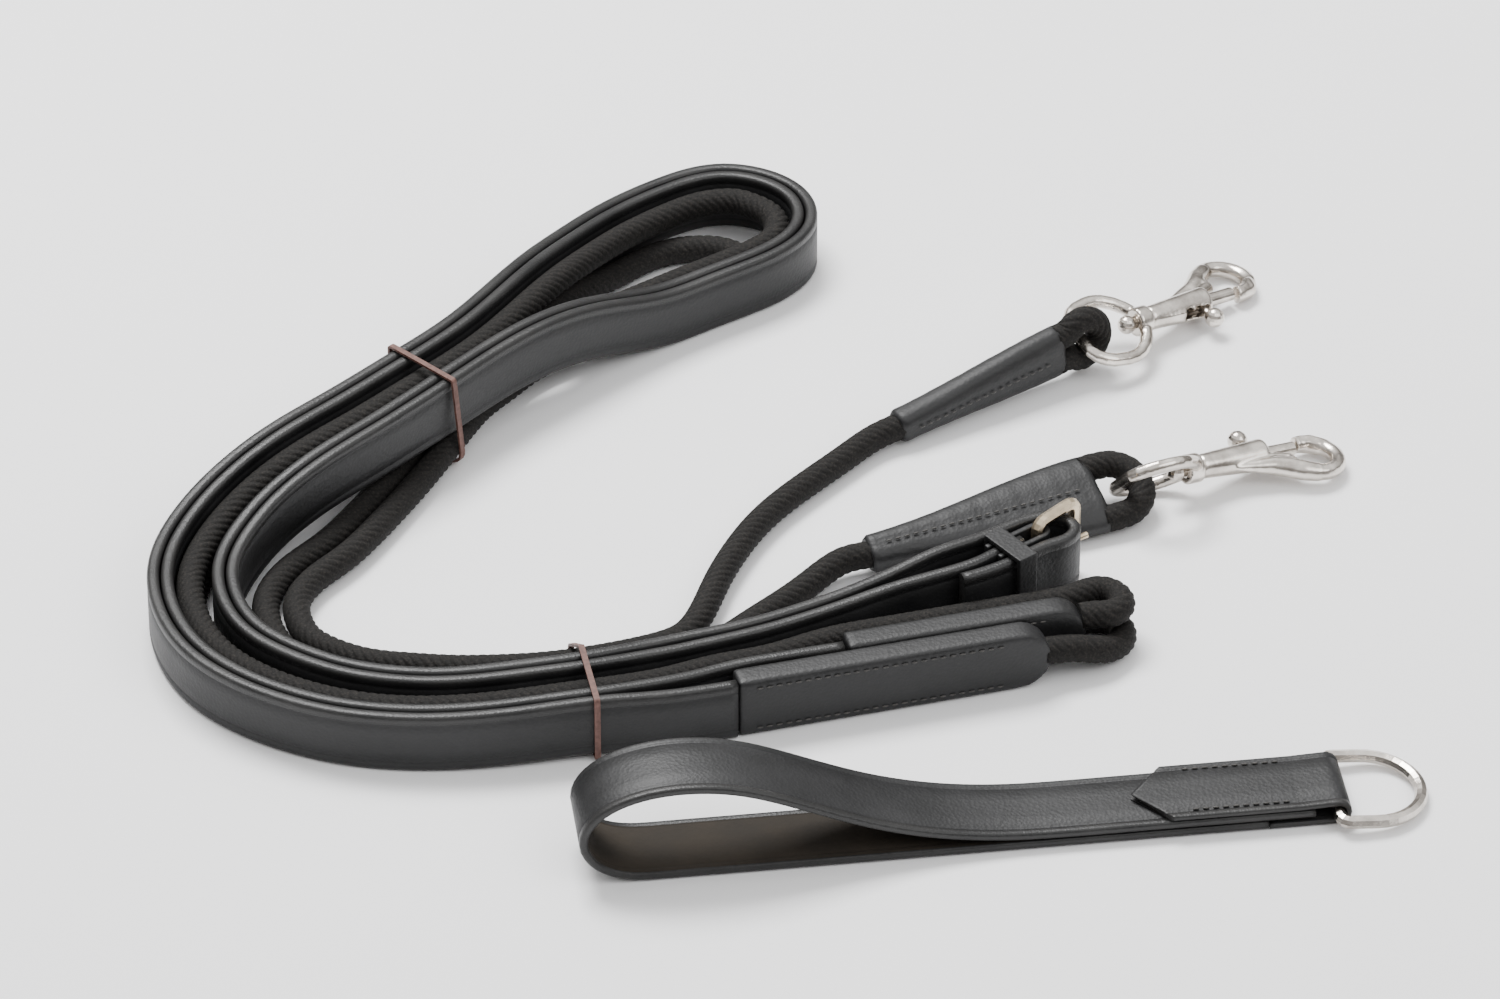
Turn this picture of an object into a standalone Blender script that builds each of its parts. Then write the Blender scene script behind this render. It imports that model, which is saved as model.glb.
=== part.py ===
"""Draw reins folded into a hank: two leather-and-cord reins, a girth strap with its D-ring, two rubber bands.

Metres, +Z up. The hank lies on Z = 0, and the origin is under the middle of the whole set.
Lengths below are in millimetres and become metres through MM.
"""
import math

import bmesh
import bpy
import numpy as np
from mathutils import Matrix, Vector

MM = 0.001

# ---- driving dimensions, mm ----
CENTRE = (8.9, -16.8)        # the layout point that becomes the origin
FIT = 0.3                    # clearance between pieces that touch

REIN_WIDTH = 20.0
REIN_THICK = 3.8
CORD_D = 8.6
CORD_Z = CORD_D / 2 + 0.1    # middle of a cord that lies on the ground
STACKED_Z = CORD_Z + CORD_D + 0.4
INNER_BESIDE = 4.3           # inner rein, from the outer rein's middle
CORD_BESIDE = 11.1           # the stacked cords, from the outer rein's middle
BAND_STATIONS = (345, 43)    # along the outer rein from its sleeve: upper and lower band
BAND_WIDTH = 1.8
BAND_THICK = 0.8

SLEEVE_THICK = 8.6
SLEEVE_SLOPE = math.atan(0.2792)

WIRE_R = 2.0                 # eyes and D-ring
EYE_BAR_HALF = 8.6           # pivot bar's half length, middle of the wire
EYE_HALF = 12.4
EYE_DEPTH = 25.0             # pivot bar to hub, middle of the wire
BARREL_R = 5.0
BARREL_LENGTH = 24.0
BOLT_R = 2.2
HOOK_CENTRE = (37.8, -7.0)
HOOK_R = 8.3
HOOK_WIRE_R = 2.6
KNOB_X = 20.5
BOLT_FROM = 18.0
BOLT_TO = 35.4
BOLT_TRAVEL = 6.0
STEM_R = 1.7

BUCKLE_PIVOT = (87.3, -49.4)
BUCKLE_Z = 14.5
BUCKLE_LENGTH = 17.0
BUCKLE_HALF = 12.2           # half height, middle of the wire
BUCKLE_WIRE_R = 1.9
BUCKLE_YAW = math.radians(46)
CHAPE_YAW = math.radians(38)
CHAPE_THICK = 1.8
CHAPE_LENGTH = 17.5
TONGUE_R = 1.0

GIRTH_WIDTH = 25.0
GIRTH_THICK = 2.6
GIRTH_YAW = math.atan(0.133)
GIRTH_LEFT = (-52.0, -180.2)  # the loop's left end, on the strap's middle
GIRTH_END = 219.0
LAP_END = 205.0
LAP_THICK = 1.7
LAP_START = 171.0
RING_AT = (226.0, -1.0, 4.1)
RING_HALF = 16.0
RING_DEPTH = 26.7

# Middle line of the outer rein from its cord sleeve, round the hank, back to the upper band: x, y, lift.
OUTER_OUT = [
    (-4, -119.7, 0), (-25, -125.5, 0.6), (-45, -129.4, 1.5), (-70, -134, 0.8), (-98, -136, 0), (-125, -132, 0),
    (-150, -120, 0), (-168, -103, 0), (-178, -82, 0), (-181, -60, 0), (-177, -40, 0.8), (-166, -20, 4),
    (-149, -2, 8.6), (-131, 15, 10), (-112, 34.5, 10.7), (-95, 54, 10.7), (-82, 75, 9.7), (-71, 96, 7),
    (-60, 115, 3.5), (-47, 133, 1), (-29, 149, 0), (-10, 157, 0), (8, 152, 0), (18, 140, 0), (19, 124, 0),
    (9, 109, 0), (-9, 96, 0), (-28, 82.5, 1), (-46, 69, 6.5), (-63, 54.5, 10.2), (-79, 38.5, 10.7),
    (-94, 21, 10.7),
]
# Its other end, from the lower band to the buckle, where it is the billet.
BILLET_END = [
    (-23, -97.2, 0), (-9, -92.4, 0), (3, -87.6, 0), (27, -76, 1), (45, -66, 3), (57, -58.8, 4.5), (70, -51.6, 4.5),
    (79.7, -45.2, 4.5), (87.6, -41.2, 4.5), (95, -41.6, 4.5), (99, -46.6, 4.5), (96, -52.4, 4.5), (91, -55, 4.5),
    (83, -61, 4.5), (75, -66.7, 4.5), (68, -70.6, 4.5), (64, -72.4, 4.5),
]
# The inner rein lies inside the outer one, apart from its ends at the far sleeve and at the buckle.
INNER_START = [(28, -100.7, 0), (8, -106, 0), (-7, -110.8, 0), (-20, -116.8, 0.5)]
BUCKLE_END = [
    (-21, -101.8, 0), (-7, -96.6, 0), (4, -92.2, 0), (27, -81.7, 1), (45, -74, 3), (66.8, -65.4, 4.5),
    (74.7, -59.3, 4.5), (82.6, -53.1, 4.5),
]
# Return run of both reins in the hank: station along the outer rein, distance beside it.
RETURN_BESIDE = [(45, 22.2), (90, 22.4), (150, 24.0), (285, 24.0), (345, 22.4)]

# Near cord: from the near sleeve, round behind both sleeves, along the hank, and on to the lower snap.
NEAR_CORD_START = [
    (90.7, -90.8, 10), (97, -89, 9.3), (104, -87, 7.4), (110, -83, 5.2), (113, -76.5, 4.4), (111, -70.3, 4.4),
    (104.5, -68, 4.4), (96, -70.2, 4.4), (80, -74.6, 4.4), (60, -80.1, 4.4), (40, -85.7, 4.4), (22, -91.5, 4.4),
    (6.2, -99.2, 4.4), (-10.8, -104.8, 4.5), (-27, -112, 5.1),
]
NEAR_CORD_ARCH = [
    (-45, 113.5, 5.4), (-37, 122.5, 4.4), (-27, 129.5, 4.4), (-15, 132, 4.4), (-6, 129.5, 4.4), (-1.5, 123, 4.4),
    (-3.5, 115.5, 4.4),
]
NEAR_CORD_UNDER = [(-54.6, 82.6, 4.4), (-66.5, 78.2, 4.4), (-78.2, 70.4, 4.4), (-92.2, 49, 4.8)]
NEAR_CORD_BESIDE = [
    (345, 13.2, 6), (328, 18.5, 4.8), (310, 24.8, 4.4), (295, 30.2, 4.4), (280, 33.4, 4.4), (150, 34, 4.4),
    (100, 35, 4.4), (70, 32, 4.8), (43, 29.3, 6),
]
NEAR_CORD_END = [(-25, -90.8, 4.8), (-10, -80.5, 4.4), (0, -70, 4.4), (9, -60.5, 4.4), (18, -50.5, 4.8)]
# Far cord: from the far sleeve, on top of the near cord, along the hank, and on to the upper snap.
FAR_CORD_START = [
    (101.9, -78.2, 13.5), (104.5, -77.7, 13.5), (108.5, -77.3, 13.5), (111.7, -75, 13.5), (112.4, -70.8, 13.5),
    (110.2, -66.7, 13.4), (105.5, -65, 13.4), (100.5, -67.2, 13.4), (96, -69.8, 13.4), (80, -74.6, 13.4), (60, -80.1, 13.4),
    (40, -85.7, 13.4), (22, -91.5, 13.4), (6.2, -99.2, 13.4), (-10.8, -104.8, 13.5), (-27, -112, 13.9),
]
FAR_CORD_ARCH = [(0, 143.5, 13.4), (7, 137, 13.4), (8.5, 128, 13.4), (4.5, 120, 13.4)]
FAR_CORD_UNDER = [(-52.7, 77.6, 12.2), (-61, 70.2, 6.8), (-69.5, 62.2, 5.3), (-77, 52.3, 5.3), (-84.7, 41.3, 5.5)]
FAR_CORD_BESIDE = [
    (345, 22.6, 6), (328, 28.1, 4.8), (310, 34.3, 4.4), (295, 39.8, 4.4), (280, 42.9, 4.4), (150, 43.2, 4.4),
    (100, 44.3, 4.4), (70, 41.5, 4.8), (43, 38.5, 6),
]
FAR_CORD_END = [
    (-28.5, -82, 4.7), (-19, -74.5, 4.4), (-13.4, -60.7, 4.4), (-9.8, -47.9, 4.4), (-3.1, -30, 4.4), (6.2, -12.8, 4.4),
    (18.6, 3.2, 4.4), (29.5, 16, 4.4),
]

# Snap sleeves: the cord loop's centre and size, the sleeve behind it, and how the snap hangs in the loop.
UPPER_SNAP = {
    "loop": (104.5, 69.2, 12.6), "loop_r": 7.0, "leg": 4.6, "front": 8.3, "wide": 18.5, "mouth": 11.0,
    "sleeve": 70.5, "sleeve_yaw": math.radians(33.4), "sleeve_roll": math.radians(90), "sleeve_drop": 6.8,
    "bar_ahead": 0.0, "bar_up": 0.0, "bar_aside": 0.0, "yaw": math.radians(37), "pitch": math.radians(7.8),
    "eye_roll": math.radians(18), "body_roll": math.radians(180),
}
LOWER_SNAP = {
    "loop": (111.8, -6.6, 8.5), "loop_r": 9.7, "leg": 9.7, "front": 5.0, "wide": 25.0, "mouth": 12.4,
    "sleeve": 82.0, "sleeve_yaw": math.radians(22.5), "sleeve_roll": math.radians(20), "sleeve_drop": 1.8,
    "bar_ahead": 1.6, "bar_up": 5.3, "bar_aside": -4.6, "yaw": math.radians(29.5), "pitch": math.radians(8.3),
    "eye_roll": math.radians(-49), "body_roll": 0.0,
}

# Girth strap's middle line in its own upright plane: distance from the left end, height.
GIRTH_LINE = [
    (LAP_END, 1.4), (160, 1.4), (100, 1.4), (50, 1.4), (28, 1.4), (14, 2.4), (5, 7.6), (2, 15), (5, 22.5),
    (13, 28.3), (25, 31.4), (38, 31.4), (50, 29), (63, 24), (75, 18.6), (86, 14), (95, 10.9), (105, 8.2), (117, 6),
    (130, 4.7), (145, 4.3), (170, 4.3), (GIRTH_END, 4.3),
]


# ---- scene helpers ----
def clear_scene():
    for obj in list(bpy.data.objects):
        bpy.data.objects.remove(obj, do_unlink=True)


def new_collection(name):
    collection = bpy.data.collections.new(name)
    bpy.context.scene.collection.children.link(collection)
    return collection


def material(name, colour, roughness, metallic=0.0):
    mat = bpy.data.materials.new(name)
    mat.use_nodes = True
    shader = mat.node_tree.nodes["Principled BSDF"]
    shader.inputs["Base Color"].default_value = (*colour, 1)
    shader.inputs["Roughness"].default_value = roughness
    shader.inputs["Metallic"].default_value = metallic
    return mat


def black_leather(name):
    return material(name, (0.035, 0.036, 0.038), 0.5)


def twisted_cord(name):
    return material(name, (0.022, 0.021, 0.02), 0.9)


def nickel(name):
    return material(name, (0.72, 0.69, 0.65), 0.22, 1.0)


def finish(obj, mat, collection, smooth_below=35):
    """Put a piece in its collection with its material, smooth on its round faces."""
    for owner in list(obj.users_collection):
        owner.objects.unlink(obj)
    collection.objects.link(obj)
    if mat is not None:
        obj.data.materials.clear()
        obj.data.materials.append(mat)
    if obj.type == "MESH":
        obj.data.shade_smooth()
        obj.data.set_sharp_from_angle(angle=math.radians(smooth_below))
    return obj


def mesh_object(name, bm):
    mesh = bpy.data.meshes.new(name)
    bm.to_mesh(mesh)
    bm.free()
    obj = bpy.data.objects.new(name, mesh)
    bpy.context.scene.collection.objects.link(obj)
    return obj


def as_mesh(obj):
    """The object's evaluated shape as a plain welded mesh object."""
    bpy.context.view_layer.update()
    shape = obj.evaluated_get(bpy.context.evaluated_depsgraph_get())
    mesh = bpy.data.meshes.new_from_object(shape)
    bm = bmesh.new()
    bm.from_mesh(mesh)
    bmesh.ops.remove_doubles(bm, verts=bm.verts, dist=0.00001)
    bmesh.ops.recalc_face_normals(bm, faces=bm.faces)
    bm.to_mesh(mesh)
    bm.free()
    name, place = obj.name, obj.matrix_world.copy()
    bpy.data.objects.remove(obj, do_unlink=True)
    out = bpy.data.objects.new(name, mesh)
    out.matrix_world = place
    bpy.context.scene.collection.objects.link(out)
    return out


def boolean(obj, other, operation, cutters):
    """Cut the other shape from a piece, or join it to the piece; the other becomes a hidden guide."""
    mod = obj.modifiers.new(operation.title() + " " + other.name, "BOOLEAN")
    mod.operation = operation
    mod.object = other
    for owner in list(other.users_collection):
        owner.objects.unlink(other)
    cutters.objects.link(other)
    other.hide_render = True
    other.display_type = "WIRE"


def bevel(obj, width, segments=2):
    mod = obj.modifiers.new("Rounded edges", "BEVEL")
    mod.width = width * MM
    mod.segments = segments
    mod.limit_method = "ANGLE"
    mod.angle_limit = math.radians(40)


# ---- lines ----
def smooth_line(points):
    """A natural cubic spline through the points, as stations 1 mm apart."""
    p = np.array(points, float)
    knots = np.concatenate([[0], np.cumsum(np.sqrt(np.linalg.norm(np.diff(p, axis=0), axis=1)))])
    h = np.diff(knots)
    n = len(p)
    system = np.eye(n)
    right = np.zeros(p.shape)
    for i in range(1, n - 1):
        system[i, i - 1], system[i, i], system[i, i + 1] = h[i - 1], 2 * (h[i - 1] + h[i]), h[i]
        right[i] = 6 * ((p[i + 1] - p[i]) / h[i] - (p[i] - p[i - 1]) / h[i - 1])
    bend = np.linalg.solve(system, right)
    runs = []
    for i in range(n - 1):
        count = max(6, int(4 * np.linalg.norm(p[i + 1] - p[i])))
        u = np.linspace(0, h[i], count, endpoint=i == n - 2)[:, None]
        v = h[i] - u
        runs.append(
            (bend[i] * v ** 3 + bend[i + 1] * u ** 3) / (6 * h[i])
            + (p[i] / h[i] - bend[i] * h[i] / 6) * v
            + (p[i + 1] / h[i] - bend[i + 1] * h[i] / 6) * u
        )
    return evenly(np.concatenate(runs), 1.0)


def evenly(line, step):
    """The line's points moved to equal steps along it."""
    along = np.concatenate([[0], np.cumsum(np.linalg.norm(np.diff(line, axis=0), axis=1))])
    stations = np.linspace(0, along[-1], int(round(along[-1] / step)) + 1)
    return np.stack([np.interp(stations, along, line[:, k]) for k in range(line.shape[1])], axis=1)


def by_bend(line, most, turn):
    """Fewer points where the line is straight: a new one after a length or after a turn."""
    kept, length, turned = [line[0]], 0.0, 0.0
    for before, here, after in zip(line[:-2], line[1:-1], line[2:]):
        a, b = Vector(here - before), Vector(after - here)
        length += a.length
        turned += a.angle(b)
        if length >= most or turned >= turn:
            kept.append(here)
            length, turned = 0.0, 0.0
    kept.append(line[-1])
    return np.array(kept)


def beside(line, station, distance):
    """The point at a station of the line, moved level to the right of its direction."""
    here, ahead, behind = line[station], line[min(station + 2, len(line) - 1)], line[max(station - 2, 0)]
    run = ahead[:2] - behind[:2]
    right = np.array([run[1], -run[0]]) / np.linalg.norm(run)
    return (here[0] + distance * right[0], here[1] + distance * right[1], here[2])


def along_table(table, station):
    """Values between the rows of a table whose first column is a station; the rows may run either way."""
    rows = sorted(table)
    return [float(np.interp(station, [r[0] for r in rows], [r[k] for r in rows])) for k in range(1, len(rows[0]))]


def outer_rein_line(out):
    back = [beside(out, s, along_table(RETURN_BESIDE, s)[0]) for s in range(330, 44, -15)]
    return smooth_line(OUTER_OUT + back + BILLET_END)


def inner_rein_line(out):
    there = [beside(out, s, INNER_BESIDE) for s in range(45, 705, 14)]
    back = [beside(out, s, along_table(RETURN_BESIDE, s)[0] - INNER_BESIDE) for s in range(330, 44, -15)]
    return smooth_line(INNER_START + there + back + BUCKLE_END)


def cord_up(out, first, last, height):
    points = [beside(out, s, CORD_BESIDE) for s in range(first, last, 18)]
    return [(x, y, z + height) for x, y, z in points]


def cord_back(out, table):
    points = []
    for s in range(345, 42, -20):
        distance, z = along_table(table, s)
        x, y, _ = beside(out, s, distance)
        points.append((x, y, z))
    return points


def near_leg(out, height):
    return [(*beside(out, s, CORD_BESIDE)[:2], height) for s in (596, 612, 628)]


def near_cord_line(out):
    return smooth_line(
        NEAR_CORD_START + cord_up(out, 45, 430, CORD_Z) + NEAR_CORD_ARCH + near_leg(out, CORD_Z) + NEAR_CORD_UNDER
        + cord_back(out, NEAR_CORD_BESIDE) + NEAR_CORD_END + [sleeve_mouth(LOWER_SNAP, gap) for gap in (9, 0.7)]
    )


def far_cord_line(out):
    return smooth_line(
        FAR_CORD_START + cord_up(out, 45, 516, STACKED_Z) + FAR_CORD_ARCH + near_leg(out, STACKED_Z) + FAR_CORD_UNDER
        + cord_back(out, FAR_CORD_BESIDE) + FAR_CORD_END + [sleeve_mouth(UPPER_SNAP, gap) for gap in (9, 0.7)]
    )


# ---- shapes ----
def to_world(point):
    return Vector(((point[0] - CENTRE[0]) * MM, (point[1] - CENTRE[1]) * MM, point[2] * MM))


def ribbon(name, points, rise, thick, closed=False):
    """A strip of constant thickness: the points joined in a row, raised along one direction, made solid."""
    bm = bmesh.new()
    verts = [bm.verts.new(p) for p in points]
    for a, b in zip(verts, verts[1:] + ([verts[0]] if closed else [])):
        if a is not b:
            bm.edges.new((a, b))
    if not closed and len(bm.edges) == len(verts):
        bm.edges.remove(bm.edges[-1])
    raised = bmesh.ops.extrude_edge_only(bm, edges=bm.edges[:])
    bmesh.ops.translate(bm, verts=[v for v in raised["geom"] if isinstance(v, bmesh.types.BMVert)], vec=rise)
    obj = mesh_object(name, bm)
    mod = obj.modifiers.new("Thickness", "SOLIDIFY")
    mod.thickness = thick * MM
    mod.offset = 0
    mod.use_even_offset = True
    return obj


def tube(name, points, radius, resolution=2, cyclic=False):
    curve = bpy.data.curves.new(name, "CURVE")
    curve.dimensions = "3D"
    curve.bevel_depth = radius * MM
    curve.bevel_resolution = resolution
    curve.use_fill_caps = not cyclic
    spline = curve.splines.new("POLY")
    spline.points.add(len(points) - 1)
    for slot, p in zip(spline.points, points):
        slot.co = (*p, 1)
    spline.use_cyclic_u = cyclic
    obj = bpy.data.objects.new(name, curve)
    bpy.context.scene.collection.objects.link(obj)
    return obj


def cylinder(name, start, end, radius, segments=20):
    """A round bar between two points, in mm."""
    a, b = Vector(start) * MM, Vector(end) * MM
    bm = bmesh.new()
    bmesh.ops.create_cone(
        bm, cap_ends=True, segments=segments, radius1=radius * MM, radius2=radius * MM, depth=(b - a).length,
        matrix=Matrix.Translation((a + b) / 2) @ (b - a).to_track_quat("Z", "Y").to_matrix().to_4x4(),
    )
    return mesh_object(name, bm)


def box(name, low, high):
    bm = bmesh.new()
    low, high = Vector(low) * MM, Vector(high) * MM
    size = Matrix.Diagonal((*(high - low), 1))
    bmesh.ops.create_cube(bm, size=1, matrix=Matrix.Translation((low + high) / 2) @ size)
    return mesh_object(name, bm)


def ball(name, centre, radius):
    bm = bmesh.new()
    place = Matrix.Translation(Vector(centre) * MM)
    bmesh.ops.create_uvsphere(bm, u_segments=16, v_segments=10, radius=radius * MM, matrix=place)
    return mesh_object(name, bm)


def arc(centre, radius, first, last, count):
    """Points of an arc in the XY plane, in mm; angles in degrees."""
    angles = [math.radians(first + (last - first) * k / (count - 1)) for k in range(count)]
    return [(centre[0] + radius * math.cos(a), centre[1] + radius * math.sin(a), 0) for a in angles]


def scaled(points):
    return [Vector(p) * MM for p in points]


def frame_at(point, yaw=0.0, pitch=0.0, roll=0.0):
    """A placement: X along the heading, pitched nose down, then rolled about its own X."""
    turn = Matrix.Rotation(yaw, 4, "Z") @ Matrix.Rotation(pitch, 4, "Y") @ Matrix.Rotation(roll, 4, "X")
    return Matrix.Translation(to_world(point)) @ turn


# ---- the hank ----
def rein(name, line, parts):
    line = np.concatenate([line[:, :2], np.maximum(line[:, 2:], 0)], axis=1)
    points = [to_world(p) for p in by_bend(line, 14.0, math.radians(6))]
    obj = ribbon(name, points, Vector((0, 0, REIN_WIDTH * MM)), REIN_THICK)
    return finish(obj, black_leather("Leather, " + name), parts)


def cord(name, line, parts):
    points = [to_world(p) for p in by_bend(line, 17.0, math.radians(12))]
    return finish(tube(name, points, CORD_D / 2), twisted_cord("Cord, " + name), parts)


def cord_sleeve(name, start, length, parts):
    """The rein's end doubled round the cord: a flat case, round at its right end."""
    half = REIN_WIDTH / 2
    curve = bpy.data.curves.new(name, "CURVE")
    curve.dimensions = "2D"
    curve.fill_mode = "BOTH"
    curve.extrude = SLEEVE_THICK / 2 * MM
    round_end = [(p[0], p[1]) for p in arc((length - half + 1, 0), half, -75, 75, 11)]
    outline = [(0, half), (0, -half)] + round_end
    outline[2:2] = [(length - half, -half)]
    outline.append((length - half, half))
    spline = curve.splines.new("POLY")
    spline.points.add(len(outline) - 1)
    for slot, p in zip(spline.points, outline):
        slot.co = (p[0] * MM, p[1] * MM, 0, 1)
    spline.use_cyclic_u = True
    obj = bpy.data.objects.new(name, curve)
    bpy.context.scene.collection.objects.link(obj)
    obj = as_mesh(obj)
    place = frame_at((start[0], start[1], half), yaw=SLEEVE_SLOPE)
    obj.matrix_world = place @ Matrix.Rotation(math.radians(90), 4, "X")
    bevel(obj, 2.2)
    return finish(obj, black_leather("Leather, " + name), parts)


def hull(points):
    """The outline of a flat set of points, anticlockwise."""
    points = sorted(set(points))

    def half(row):
        out = []
        for p in row:
            while len(out) > 1 and (out[-1][0] - out[-2][0]) * (p[1] - out[-2][1]) <= (out[-1][1] - out[-2][1]) * (
                p[0] - out[-2][0]
            ):
                out.pop()
            out.append(p)
        return out[:-1]

    return half(points) + half(points[::-1])


def rubber_band(name, out, station, rows, parts):
    """A flat ring stretched round what crosses it: rows are (aside, height, radius) of what it touches."""
    gap = FIT + BAND_THICK / 2
    touch = []
    for aside, height, radius in rows:
        for k in range(24):
            angle = 2 * math.pi * k / 24
            reach = radius + gap
            touch.append((round(aside + reach * math.cos(angle), 4), round(height + reach * math.sin(angle), 4)))
    here, beyond = beside(out, station, 0), beside(out, station, 10)
    yaw = math.atan2(beyond[1] - here[1], beyond[0] - here[0])
    place = frame_at((here[0], here[1], 0), yaw=yaw)
    ring = [Vector((a * MM, -BAND_WIDTH / 2 * MM, h * MM)) for a, h in hull(touch)]
    obj = ribbon(name, ring, Vector((0, BAND_WIDTH * MM, 0)), BAND_THICK, closed=True)
    obj.matrix_world = place
    return finish(obj, material("Rubber, " + name, (0.11, 0.05, 0.042), 0.7), parts)


def crossings(line, here, run):
    """Where a line passes through the upright plane across the outer rein: distance beside it, height."""
    ahead = (line[:, :2] - here[:2]) @ run
    found = []
    for k in np.nonzero(ahead[:-1] * ahead[1:] < 0)[0]:
        point = (line[k] + line[k + 1]) / 2
        beside_it = (point[:2] - here[:2]) @ np.array([run[1], -run[0]])
        if abs(beside_it) < 60:
            found.append((beside_it, point[2]))
    return found


def band_rows(out, station, reins, cords):
    """What a band goes round: the corners of the reins and the cords' round sections, a little full."""
    run = out[station + 2][:2] - out[station - 2][:2]
    run = run / np.linalg.norm(run)
    rows = []
    for line in reins:
        for aside, low in crossings(line, out[station], run):
            corners = [(x, z) for x in (-REIN_THICK / 2, REIN_THICK / 2) for z in (0, REIN_WIDTH)]
            rows += [(aside + x, low + z, 0.25) for x, z in corners]
    for line in cords:
        rows += [(aside, middle, CORD_D / 2 + 0.4) for aside, middle in crossings(line, out[station], run)]
    return rows


# ---- a snap with its sleeve ----
def sleeve_frame(snap):
    """The snap sleeve's placement at its cord loop: X from the sleeve to the snap, Y across the loop."""
    rise = math.asin(snap["sleeve_drop"] / snap["sleeve"])
    return frame_at(snap["loop"], snap["sleeve_yaw"], -rise, snap["sleeve_roll"])


def sleeve_mouth(snap, before):
    """The point a distance before the sleeve's mouth, on its axis, in layout millimetres."""
    mouth = sleeve_frame(snap) @ Vector((-(snap["sleeve"] + before) * MM, 0, 0))
    return (mouth.x / MM + CENTRE[0], mouth.y / MM + CENTRE[1], mouth.z / MM)


def snap_sleeve(name, snap, parts):
    """A leather wrap sewn round the doubled cord: narrow at its mouth, wide at the loop."""
    wide, near_x, far_x = snap["wide"], -snap["front"], -snap["sleeve"]
    obj = box(name, (far_x, -wide / 2, -4.9), (near_x, wide / 2, 4.9))
    for v in obj.data.vertices:
        if v.co.x < (far_x + near_x) / 2 * MM:
            v.co.y *= snap["mouth"] / wide
    obj.matrix_world = sleeve_frame(snap)
    bevel(obj, 2.6)
    return finish(obj, black_leather("Leather, " + name), parts)


def cord_loop(name, snap, parts):
    """The doubled cord's end, which comes out of the sleeve and goes round the eye's bar."""
    r, leg, front = snap["loop_r"], snap["leg"], FIT - snap["front"]
    points = [(front + 0.4, -leg, 0), (front + 2.6, -leg - 0.1, 0)] + arc((0, 0), r, -98, 98, 13)
    points += [(front + 2.6, leg + 0.1, 0), (front + 0.4, leg, 0)]
    obj = tube(name, scaled(points), CORD_D / 2)
    obj.matrix_world = sleeve_frame(snap)
    return finish(obj, twisted_cord("Cord, " + name), parts)


def snap_frames(snap):
    """Placements of the eye, at its pivot bar, and of the snap's body, at the hub on the same axis."""
    aside = Matrix.Rotation(snap["yaw"], 4, "Z") @ Vector((snap["bar_ahead"], snap["bar_aside"], snap["bar_up"]))
    axis = frame_at(Vector(snap["loop"]) + aside, snap["yaw"], snap["pitch"])
    eye = axis @ Matrix.Rotation(snap["eye_roll"], 4, "X")
    body = axis @ Matrix.Translation(((EYE_DEPTH + 2.5) * MM, 0, 0)) @ Matrix.Rotation(snap["body_roll"], 4, "X")
    return eye, body


def d_shape(half, depth, corner=3.0):
    """A D of wire in the XY plane: the straight bar on Y, the bow towards X."""
    side = arc((corner, half - corner), corner, 180, 90, 5) + arc((depth - half, 0), half, 90, 0, 10)
    return side + [(x, -y, z) for x, y, z in side[-2::-1]]


def stirrup_shape():
    """The snap's eye: a short straight bar, sides that flare, and a round bow at the hub."""
    bow = [(x, y, 0) for x, y in ((0, EYE_BAR_HALF - 3), (1.1, EYE_BAR_HALF - 0.6), (4.5, 10.9), (9, 12.2),
                                  (13.5, EYE_HALF), (18, 10.8), (22, 7.4), (24.3, 3.6), (EYE_DEPTH, 0))]
    side = [tuple(p) for p in by_bend(smooth_line(bow), 4.0, math.radians(14))]
    return side + [(x, -y, z) for x, y, z in side[-2::-1]]


def snap_eye(name, snap, parts, cutters):
    eye, _ = snap_frames(snap)
    ring = as_mesh(tube(name, scaled(stirrup_shape()), WIRE_R, cyclic=True))
    boss = cylinder(name + " boss", (EYE_DEPTH - 2.5, 0, 0), (EYE_DEPTH + 2.2, 0, 0), 4.5)
    bore = cylinder(name + " bore", (EYE_DEPTH - 6, 0, 0), (EYE_DEPTH + 6, 0, 0), STEM_R + FIT)
    for obj in (ring, boss, bore):
        obj.matrix_world = eye
    boolean(ring, boss, "UNION", cutters)
    boolean(ring, bore, "DIFFERENCE", cutters)
    return finish(ring, nickel("Nickel, " + name), parts)


def swivel_stem(name, snap, parts, cutters):
    """The riveted pin that lets the snap spin in the eye: a round head inside the eye, a shank into the barrel."""
    _, body = snap_frames(snap)
    shank = cylinder(name, (-8.3, 0, 0), (2.7, 0, 0), STEM_R)
    head = ball(name + " head", (-8.3, 0, 0), 3.0)
    for obj in (shank, head):
        obj.matrix_world = body
    boolean(shank, head, "UNION", cutters)
    return finish(shank, nickel("Nickel, " + name), parts)


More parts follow.
